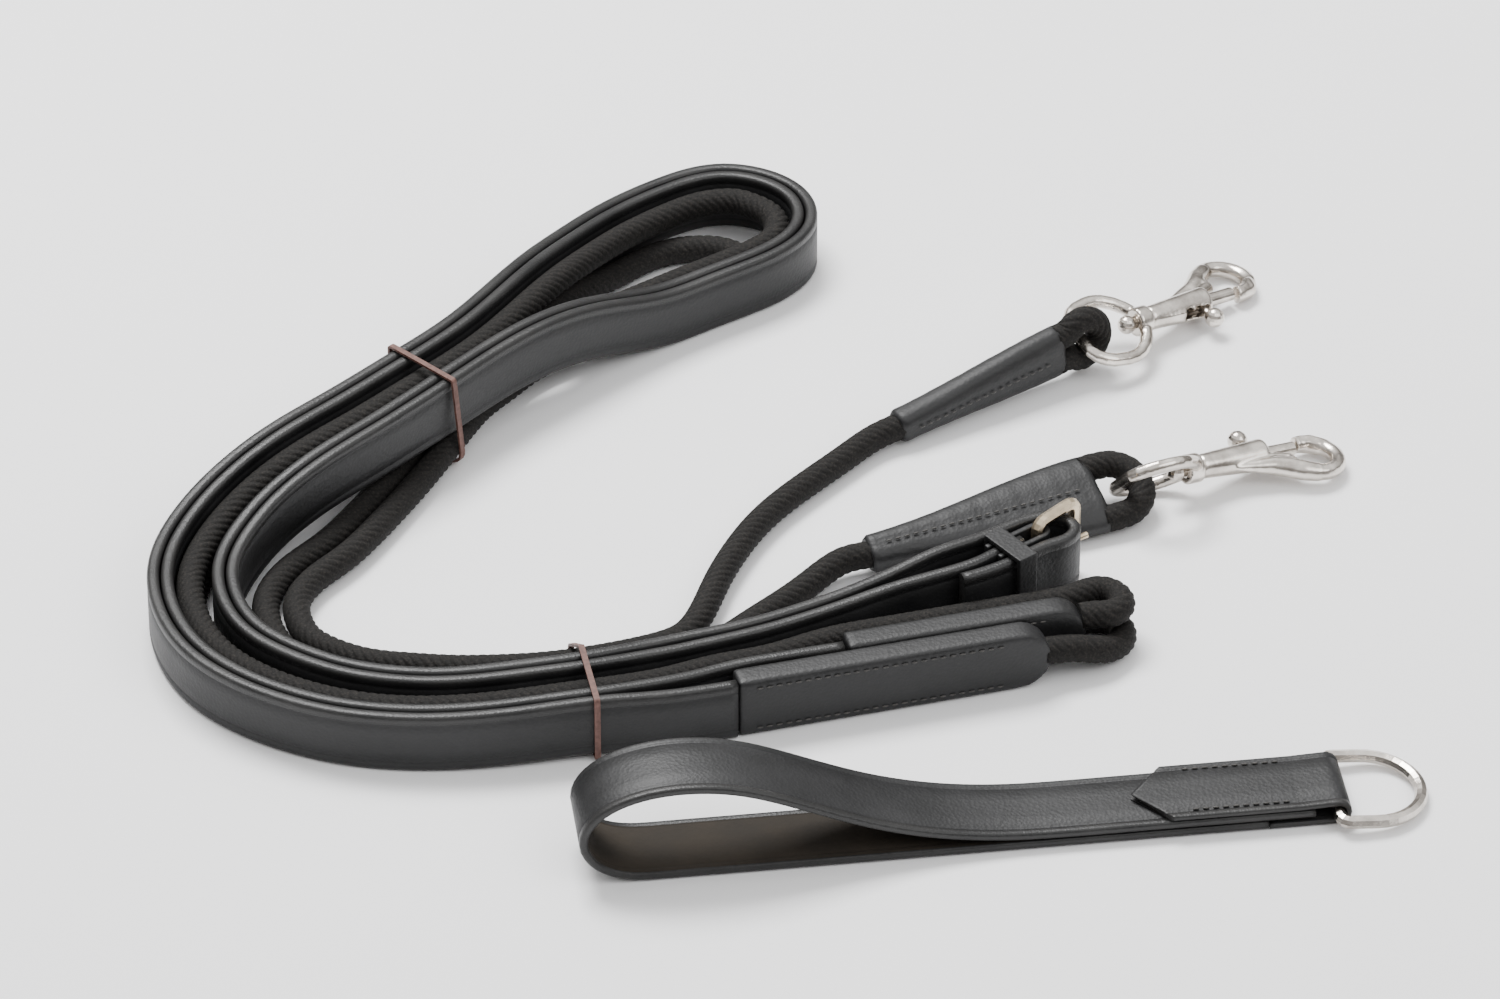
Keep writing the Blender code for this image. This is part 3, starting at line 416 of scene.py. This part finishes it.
def plated(name, dark, light, roughness):
    """Cast and plated metal: slightly wavy, with faint stains that are darker and glossier."""
    mat, tree, shader = shader_material(name, roughness, 1.0)
    stain, _ = object_noise(tree, 140.0, 5.0)
    tree.links.new(ramp(tree, stain, [(0.3, dark), (0.65, light)]), shader.inputs["Base Color"])
    gloss = node(tree, "ShaderNodeMapRange", To_Min=roughness - 0.07, To_Max=roughness + 0.14)
    tree.links.new(stain, gloss.inputs["Value"])
    tree.links.new(gloss.outputs["Result"], shader.inputs["Roughness"])
    waves, _ = object_noise(tree, 420.0, 3.0)
    bump(tree, shader, waves, 0.12, 0.0004)
    return mat


def rubber(name):
    """Matt brown rubber with a dusty bloom."""
    mat, tree, shader = shader_material(name, 0.6)
    dust, _ = object_noise(tree, 700.0, 5.0)
    stops = [(0.3, (0.075, 0.032, 0.025)), (0.7, (0.15, 0.07, 0.055))]
    tree.links.new(ramp(tree, dust, stops), shader.inputs["Base Color"])
    bump(tree, shader, dust, 0.3, 0.0002)
    return mat


def thread(name):
    """Dark grey thread, a little paler than the leather."""
    mat, tree, shader = shader_material(name, 0.7)
    fuzz, _ = object_noise(tree, 2500.0, 3.0)
    stops = [(0.3, (0.03, 0.029, 0.028)), (0.7, (0.085, 0.08, 0.075))]
    tree.links.new(ramp(tree, fuzz, stops), shader.inputs["Base Color"])
    return mat


LEATHER = leather("black leather", (0.006, 0.0062, 0.0066), (0.014, 0.014, 0.0148), 0.5)
# Strap edges: a little glossier than the face and paler, the paleness a painted highlight along the rounded
# edges.
EDGE = leather("leather edge with painted highlight", (0.008, 0.008, 0.0083), (0.02, 0.0195, 0.019), 0.42, 1500.0)
FLESH = leather("flesh side of the leather", (0.016, 0.012, 0.008), (0.034, 0.026, 0.018), 0.85, 500.0)
ROPE = rope_fibre("twisted cord")
NICKEL = plated("worn nickel", (0.46, 0.42, 0.38), (0.8, 0.75, 0.69), 0.2)
BRASS = plated("dull brass", (0.36, 0.29, 0.2), (0.72, 0.6, 0.44), 0.28)
RUBBER = rubber("brown rubber")
THREAD = thread("waxed thread")


# ---- camera, light, floor ----
def make_camera():
    data = bpy.data.cameras.new("camera")
    data.sensor_width = CAMERA_SENSOR
    data.lens = CAMERA_LENS
    camera = bpy.data.objects.new("camera", data)
    bpy.context.scene.collection.objects.link(camera)
    back = Vector((0, -math.cos(CAMERA_TILT), math.sin(CAMERA_TILT)))
    camera.location = to_world((0, 0, 0)) + back * CAMERA_DISTANCE
    camera.rotation_euler = (math.radians(90) - CAMERA_TILT, 0, 0)
    data.clip_start, data.clip_end = 0.05, 30
    bpy.context.scene.camera = camera


def area_light(name, place, size, power):
    """A rectangular lamp that points at the frame's origin."""
    data = bpy.data.lights.new(name, "AREA")
    data.shape = "RECTANGLE"
    data.size, data.size_y = size
    data.energy = power
    lamp = bpy.data.objects.new(name, data)
    bpy.context.scene.collection.objects.link(lamp)
    lamp.location = place
    lamp.rotation_euler = (-Vector(place)).to_track_quat("-Z", "Y").to_euler()


def make_stage():
    """A pale paper floor, a sky that is dark just above the horizon and bright overhead, and two lamps."""
    bm = bmesh.new()
    bmesh.ops.create_grid(bm, x_segments=1, y_segments=1, size=6)
    floor = new_object("floor", bm)
    floor.location.z = FLOOR_Z * MM
    mat, tree, shader = shader_material("pale floor", 0.85)
    paper, _ = object_noise(tree, 9.0, 2.0)
    stops = [(0, (0.93, 0.93, 0.94)), (1, (0.97, 0.97, 0.975))]
    tree.links.new(ramp(tree, paper, stops), shader.inputs["Base Color"])
    floor.data.materials.append(mat)
    world = bpy.data.worlds.new("studio")
    bpy.context.scene.world = world
    world.use_nodes = True
    sky = world.node_tree
    where = sky.nodes.new("ShaderNodeTexCoord")
    parts = sky.nodes.new("ShaderNodeSeparateXYZ")
    sky.links.new(where.outputs["Generated"], parts.inputs["Vector"])
    stops = [
        (0.0, (0.6, 0.59, 0.58)),
        (0.12, (0.09, 0.085, 0.08)),
        (0.38, (0.35, 0.34, 0.33)),
        (0.7, (1, 1, 1)),
    ]
    sky.links.new(ramp(sky, parts.outputs["Z"], stops), sky.nodes["Background"].inputs["Color"])
    sky.nodes["Background"].inputs["Strength"].default_value = 1.25
    area_light("key", (-0.45, 0.8, 1.7), (1.0, 0.7), 62)
    area_light("fill", (1.3, -0.8, 1.5), (1.2, 1.2), 12)


make_camera()
make_stage()


# ---- cords ----
def rope(name, points):
    """A twisted cord along the points, tucked into the leather at both ends: a ribbed section that turns.

    Gives the object, and points on its middle line in metres.
    """
    line = np.array([list(to_world(p)) for p in points]) / MM
    before, after = line[0] - line[1], line[-1] - line[-2]
    before, after = before / np.linalg.norm(before), after / np.linalg.norm(after)
    line = evenly(np.concatenate([[line[0] + TUCK * before], line, [line[-1] + TUCK * after]]), 1.0)
    ahead, sides = carried_frames(line)
    lift = np.cross(ahead, sides)
    lobe_points = 5
    rings = []
    for k, here in enumerate(line):
        twist = 2 * math.pi * k / STRAND_LAY
        ring = []
        for i in range(STRANDS * lobe_points):
            angle = 2 * math.pi * i / (STRANDS * lobe_points)
            groove = abs(math.sin(STRANDS * angle / 2))
            reach = CORD_D / 2 * (ROPE_WAIST + ROPE_LOBE * groove ** 0.7)
            turn = angle + twist
            spot = here + reach * (math.cos(turn) * sides[k] + math.sin(turn) * lift[k])
            ring.append(Vector(spot) * MM)
        rings.append(ring)
    obj = loft(name, rings)
    obj.data.materials.append(ROPE)
    return obj, [Vector(p) * MM for p in line[::6]] + [Vector(line[-1]) * MM]


def arc(centre, radius, first, last, count):
    """Points round a centre, from a first angle to a last one in degrees."""
    angles = [math.radians(first + (last - first) * k / (count - 1)) for k in range(count)]
    return [(centre[0] + radius * math.cos(a), centre[1] + radius * math.sin(a), 0) for a in angles]


def free_cord(name, line):
    """One of the two long cords, which leaves a cord sleeve and ends in a snap sleeve."""
    obj, path = rope(name + "_rope", line)
    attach(obj, "hank")
    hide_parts(name)


def loop_cord(name, snap):
    """The short doubled end that holds the snap's eye."""
    leg, front = snap["leg"], FIT - snap["front"]
    start, bow = (front + 0.4, leg), (front + 2.6, leg + 0.1)
    points = [(start[0], -start[1], 0), (bow[0], -bow[1], 0)] + arc((0, 0), snap["loop_r"], -98, 98, 13)
    points += [(*bow, 0), (*start, 0)]
    place = sleeve_frame(snap)
    moved = [place @ (Vector(p) * MM) for p in points]
    layout = [(p.x / MM + CENTRE[0], p.y / MM + CENTRE[1], p.z / MM) for p in moved]
    obj, _ = rope(name + "_rope", smooth_line(layout))
    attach(obj, "hank")
    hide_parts(name)


out = smooth_line(OUTER_OUT)
free_cord("cord_near", near_cord_line(out))
free_cord("cord_far", far_cord_line(out))
loop_cord("cord_loop_upper", UPPER_SNAP)
loop_cord("cord_loop_lower", LOWER_SNAP)


# ---- straps ----
def strap_section(thick, width):
    """Rounded edges, and a pressed crease near each: points (across, along the width), and their slots."""
    half, low, high = thick / 2, 0.0, width
    soft = min(1.3, half * 0.7)
    crease, deep = 1.9, 0.28
    lip, inner_lip = crease - 0.35, crease + 0.45
    section, slots = [], []

    def corner(cx, cy, first):
        for step in range(4):
            a = math.radians(first + 30 * step)
            section.append((cx + soft * math.cos(a), cy + soft * math.sin(a)))
            slots.append(EDGE_SLOT)

    def side(x, sign, start, end):
        lift = 1 if end > start else -1
        for offset, inset in ((lip, 0), (crease, deep), (inner_lip, 0)):
            section.append((x - sign * inset, start + lift * (soft + offset)))
            slots.append(FACE_SLOT)
        for share in (0.35, 0.5, 0.65):
            section.append((x, start + (end - start) * share))
            slots.append(FACE_SLOT)
        for offset, inset in ((inner_lip, 0), (crease, deep), (lip, 0)):
            section.append((x - sign * inset, end - lift * (soft + offset)))
            slots.append(FACE_SLOT)

    corner(half - soft, low + soft, -90)
    side(half, 1, low, high)
    corner(half - soft, high - soft, 0)
    corner(-half + soft, high - soft, 90)
    side(-half, -1, high, low)
    corner(-half + soft, low + soft, 180)
    return section, slots


def strap(line, width, thick, rise=(0, 0, 1), step=2.5):
    """A creased strap's rings and slots: the section carried along the line, its width towards rise."""
    line = evenly(line, step)
    ahead = directions(line)
    rise = np.array(rise, float)
    section, slots = strap_section(thick, width)
    rings = []
    for here, t in zip(line, ahead):
        across = np.cross(t, rise)
        across /= np.linalg.norm(across)
        rings.append([Vector(here + x * across + y * rise) for x, y in section])
    return rings, slots


def rein(name, line):
    """A leather rein on its edge along the line, never lower than the surface it stands on."""
    line = np.concatenate([line[:, :2], np.maximum(line[:, 2:], 0)], axis=1)
    rings, slots = strap(line, REIN_WIDTH, REIN_THICK)
    rings = [[to_world(p) for p in ring] for ring in rings]
    obj = loft(name + "_creased", rings, slots=slots)
    obj.data.materials.append(LEATHER)
    obj.data.materials.append(EDGE)
    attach(obj, "hank")
    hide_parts(name)
    return obj


def punch(obj, start, end, radius):
    """A round hole through the strap."""
    a, b = Vector(start), Vector(end)
    bm = bmesh.new()
    turn = (b - a).to_track_quat("Z", "Y").to_matrix().to_4x4()
    bmesh.ops.create_cone(bm, cap_ends=True, segments=20, radius1=radius * MM, radius2=radius * MM,
                          depth=(b - a).length, matrix=Matrix.Translation((a + b) / 2) @ turn)
    cutter = new_object("cutter", bm)
    mod = obj.modifiers.new("hole", "BOOLEAN")
    mod.operation = "DIFFERENCE"
    mod.object = cutter
    bpy.context.view_layer.objects.active = obj
    bpy.ops.object.modifier_apply(modifier=mod.name)
    bpy.data.objects.remove(cutter, do_unlink=True)


def punch_for_tongue(billet):
    """The hole in the billet that the tongue passes through."""
    slope = -(BUCKLE_WIRE_R + TONGUE_R + 2 * FIT) / (BUCKLE_LENGTH + 2.0)
    place = frame_at((*BUCKLE_PIVOT, BUCKLE_Z), BUCKLE_YAW)
    start, end = (place @ (Vector((x, x * slope, 0)) * MM) for x in HOLE_SPAN)
    punch(billet, start, end, HOLE_R)


billet = rein("leather_rein_billet", outer_rein_line(out))
rein("leather_rein_buckle", inner_rein_line(out))
punch_for_tongue(billet)


def girth():
    """The girth strap folded back on itself, its flesh side inside the loop."""
    line = smooth_line([(x, 0, z) for x, z in GIRTH_LINE])
    place = frame_at((*GIRTH_LEFT, 0), GIRTH_YAW)
    line = line - np.array((0, GIRTH_WIDTH / 2, 0))
    rings, slots = strap(line, GIRTH_WIDTH, GIRTH_THICK, (0, 1, 0))
    rings = [[place @ (p * MM) for p in ring] for ring in rings]
    second_face = len(slots) / 2
    slots = [FLESH_SLOT if s == FACE_SLOT and k > second_face else s for k, s in enumerate(slots)]
    obj = loft("girth_strap_creased", rings, slots=slots)
    for mat in (LEATHER, EDGE, FLESH):
        obj.data.materials.append(mat)
    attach(obj, "girth_loop")
    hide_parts("girth_strap")


girth()


def lap():
    """The thinner leather round the D-ring, sewn on the strap, with a pointed tip."""
    x, _, z = RING_AT
    r = WIRE_R + FIT + LAP_THICK / 2
    top = GIRTH_LINE[-1][1] + GIRTH_THICK / 2 + FIT + LAP_THICK / 2
    around = [(p[0], 0, p[1]) for p in arc((x, z), r, 90, -90, 11)]
    path = [(LAP_POINT, 0, top), (GIRTH_END - 4, 0, top)] + around + [(LAP_END + 0.4, 0, z - r)]
    line = np.array(path, float) - np.array((0, GIRTH_WIDTH / 2, 0))
    rings, slots = strap(line, GIRTH_WIDTH, LAP_THICK, (0, 1, 0), 1.5)
    taper = 20    # rings that the point takes up
    for k, ring in enumerate(rings[:taper]):
        for p in ring:
            p.x += (1 - k / taper) * LAP_POINT_DEPTH * abs(p.y) / (GIRTH_WIDTH / 2)
    place = frame_at((*GIRTH_LEFT, 0), GIRTH_YAW)
    obj = loft("girth_lap", [[place @ (p * MM) for p in ring] for ring in rings], slots=slots)
    obj.data.materials.append(LEATHER)
    obj.data.materials.append(EDGE)
    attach(obj, "girth_loop")
    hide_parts("girth_chape")


lap()


# ---- CAD nodes that keep their shape ----
def dress(nodes, mat):
    for name in nodes:
        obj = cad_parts[name]
        obj.data.materials.clear()
        obj.data.materials.append(mat)


dress(["buckle_frame", "buckle_tongue"], BRASS)
dress(["rubber_band_upper", "rubber_band_lower"], RUBBER)
dress(["d_ring"] + [part + side for side in ("_upper", "_lower")
                    for part in ("snap_eye", "swivel_stem", "snap_body", "bolt")], NICKEL)


def body_frame(snap):
    """The placement of a snap's body, at the hub on its swivel axis."""
    to_bar = Vector((snap["bar_ahead"], snap["bar_aside"], snap["bar_up"]))
    bar = Vector(snap["loop"]) + Matrix.Rotation(snap["yaw"], 4, "Z") @ to_bar
    axis = frame_at(bar, snap["yaw"], snap["pitch"])
    hub = Matrix.Translation(((EYE_DEPTH + HUB_BEYOND_EYE) * MM, 0, 0))
    return axis @ hub @ Matrix.Rotation(snap["body_roll"], 4, "X")


# Balls that fill the web between a snap's barrel and its hook ring: along, aside, radius.
SNAP_WEB = [
    (12, -4.4, 1.0), (16, -5.1, 1.7), (20, -6.1, 2.4), (24, -7.1, 3.0), (28, -9.4, 3.3), (31.5, -12.4, 3.2),
    (36, -15.0, 2.9),
]


def cast_form(mesh, place):
    """Slim the barrel towards its hub, open its bore and slot, and fill the web at the hook's ring."""
    barrel, bore_from, slot_to = 17, 11, 24    # stations along the snap's axis
    core = 3.2                                 # the outer wall is beyond this radius, the bore's within it
    into = place.inverted()
    for v in mesh.vertices:
        p = into @ v.co / MM
        away = math.hypot(p.y, p.z)
        if p.x < barrel and away > core:
            share = max(0.0, min(1.0, p.x / barrel))
            slim = 0.76 + 0.24 * share * share * (3 - 2 * share)
            v.co = place @ (Vector((p.x, p.y * slim, p.z * slim)) * MM)
        elif p.x > bore_from and 2.0 < away < core:
            v.co = place @ (Vector((p.x, p.y * BORE_ROOM, p.z * BORE_ROOM)) * MM)
        if bore_from < p.x < slot_to and p.y > 2.4 and abs(p.z) < 1.9:
            v.co = place @ (Vector((p.x, p.y, p.z * SLOT_ROOM)) * MM)
    bm = bmesh.new()
    bm.from_mesh(mesh)
    between = 5
    for (x0, y0, r0), (x1, y1, r1) in zip(SNAP_WEB, SNAP_WEB[1:]):
        for k in range(between):
            u = k / between
            spot = Vector((x0 + (x1 - x0) * u, y0 + (y1 - y0) * u, 0)) * MM
            bmesh.ops.create_icosphere(bm, subdivisions=2, radius=(r0 + (r1 - r0) * u) * MM,
                                       matrix=place @ Matrix.Translation(spot))
    bm.to_mesh(mesh)
    bm.free()


def softened(name, body, mat, voxel, rounds, swell=0.0, place=None):
    """A node's shape remeshed finely and smoothed, as castings and wrapped leather are.

    voxel and swell, which grows the surface back, are in millimetres; rounds counts the smoothing steps.
    """
    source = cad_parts[name]
    obj = bpy.data.objects.new(name + "_soft", source.data.copy())
    bpy.context.scene.collection.objects.link(obj)
    if place is not None:
        cast_form(obj.data, place)
    mod = obj.modifiers.new("remesh", "REMESH")
    mod.mode = "VOXEL"
    mod.voxel_size = voxel * MM
    mod = obj.modifiers.new("smooth", "SMOOTH")
    mod.factor = 0.5
    mod.iterations = rounds
    mod = obj.modifiers.new("swell", "DISPLACE")
    mod.strength = swell * MM
    mod.mid_level = 0.0
    bpy.context.view_layer.update()
    shape = bpy.data.meshes.new_from_object(obj.evaluated_get(bpy.context.evaluated_depsgraph_get()))
    obj.modifiers.clear()
    obj.data = shape
    shape.shade_smooth()
    shape.materials.clear()
    shape.materials.append(mat)
    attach(obj, body)
    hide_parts(name)


for side, snap in (("upper", UPPER_SNAP), ("lower", LOWER_SNAP)):
    softened("snap_body_" + side, "snap_" + side, NICKEL,
             voxel=0.42, rounds=6, swell=0.12, place=body_frame(snap))
    softened("snap_eye_" + side, "eye_" + side, NICKEL, voxel=0.42, rounds=4, swell=0.25)
for name in CORD_SLEEVES:
    softened(name, "hank", LEATHER, voxel=0.7, rounds=22)
for name in ("keeper", "buckle_chape"):
    softened(name, "hank", LEATHER, voxel=0.3, rounds=3)


def wrapped_sleeve(name, snap):
    """Leather sewn round the doubled cord: a soft oval that widens to the loop, its ends turned in."""
    half_thick = 4.75
    place = sleeve_frame(snap)
    first, last = -snap["sleeve"], -snap["front"]
    loop_half = max(snap["wide"] / 2, snap["leg"] + CORD_D / 2 + FIT)
    rings = []
    for x in np.linspace(first, last, 60):
        share = (x - first) / (last - first)
        ease = share * share * (3 - 2 * share)
        half = snap["mouth"] / 2 + (loop_half - snap["mouth"] / 2) * ease
        end = min(x - first, last - x)
        tuck = 1 - 0.16 * max(0.0, 1 - end / 1.6) ** 2
        ripple = 1 + 0.012 * math.sin(x * 0.9) + 0.01 * math.sin(x * 0.37 + 2)
        ring = []
        for k in range(40):
            a = 2 * math.pi * k / 40
            c, s = math.cos(a), math.sin(a)
            y = math.copysign(abs(c) ** 0.72, c) * (half - 0.25) * tuck
            z = math.copysign(abs(s) ** 0.8, s) * half_thick * tuck * ripple
            seam = 0.35 * math.exp(-((y / 0.55) ** 2)) if s > 0 else 0.0
            ring.append(place @ (Vector((x, y, z - seam)) * MM))
        rings.append(ring)
    obj = loft(name + "_wrap", rings)
    obj.data.materials.append(LEATHER)
    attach(obj, "hank")
    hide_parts(name)


wrapped_sleeve("snap_sleeve_upper", UPPER_SNAP)
wrapped_sleeve("snap_sleeve_lower", LOWER_SNAP)


# ---- stitching ----
def stitches(name, points, out_dir, body, pitch=3.0, long=2.1, radius=0.32):
    """A row of thread stitches along the points, lying on the leather."""
    per_mm, proud = 2, 0.12
    line = evenly(np.array([list(p) for p in points]) / MM, 1 / per_mm)
    bm = bmesh.new()
    start = pitch / 2
    total = (len(line) - 1) / per_mm
    while start + long < total:
        a = Vector(line[int(start * per_mm)]) * MM
        b = Vector(line[int((start + long) * per_mm)]) * MM
        turn = (b - a).to_track_quat("Z", "Y").to_matrix().to_4x4()
        place = Matrix.Translation((a + b) / 2 + Vector(out_dir) * proud * MM) @ turn
        size = Matrix.Diagonal((radius * MM, radius * MM, (b - a).length / 2, 1))
        bmesh.ops.create_icosphere(bm, subdivisions=2, radius=1, matrix=place @ size)
        start += pitch
    obj = new_object(name, bm)
    obj.data.shade_smooth()
    obj.data.materials.append(THREAD)
    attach(obj, body)


def sleeve_stitches(name, start, length):
    """Rows along both long edges of a cord sleeve's near and far faces."""
    face, edge = 4.42, 7.3    # from the sleeve's middle
    place = frame_at((*start, CORD_SLEEVE_Z), CORD_SLEEVE_YAW)
    for side, word in ((-1, "front"), (1, "back")):
        for height, row in ((edge, "top"), (-edge, "foot")):
            ends = [place @ (Vector((x, side * face, height)) * MM) for x in (4, length - 12)]
            stitches(f"{name}_stitches_{word}_{row}", ends, place.to_3x3() @ Vector((0, side, 0)), "hank")


for name, (start, length) in CORD_SLEEVES.items():
    sleeve_stitches(name, start, length)


def snap_sleeve_stitches(name, snap):
    """A row along the middle of a snap sleeve's two faces."""
    face, inset = 4.95, 4
    place = sleeve_frame(snap)
    for side, word in ((-1, "a"), (1, "b")):
        reach = (-snap["sleeve"] + inset, -snap["front"] - inset)
        ends = [place @ (Vector((x, 0, side * face)) * MM) for x in reach]
        stitches(f"{name}_stitches_{word}", ends, place.to_3x3() @ Vector((0, 0, side)), "hank")


snap_sleeve_stitches("snap_sleeve_upper", UPPER_SNAP)
snap_sleeve_stitches("snap_sleeve_lower", LOWER_SNAP)


def lap_stitches():
    """Two rows on the lap, between its pointed tip and the D-ring."""
    first, last, aside, top = 181, 214, 9.6, 7.75
    place = frame_at((*GIRTH_LEFT, 0), GIRTH_YAW)
    for side, word in ((-aside, "near"), (aside, "far")):
        ends = [place @ (Vector((x, side, top)) * MM) for x in (first, last)]
        stitches("girth_lap_stitches_" + word, ends, (0, 0, 1), "girth_loop")


lap_stitches()
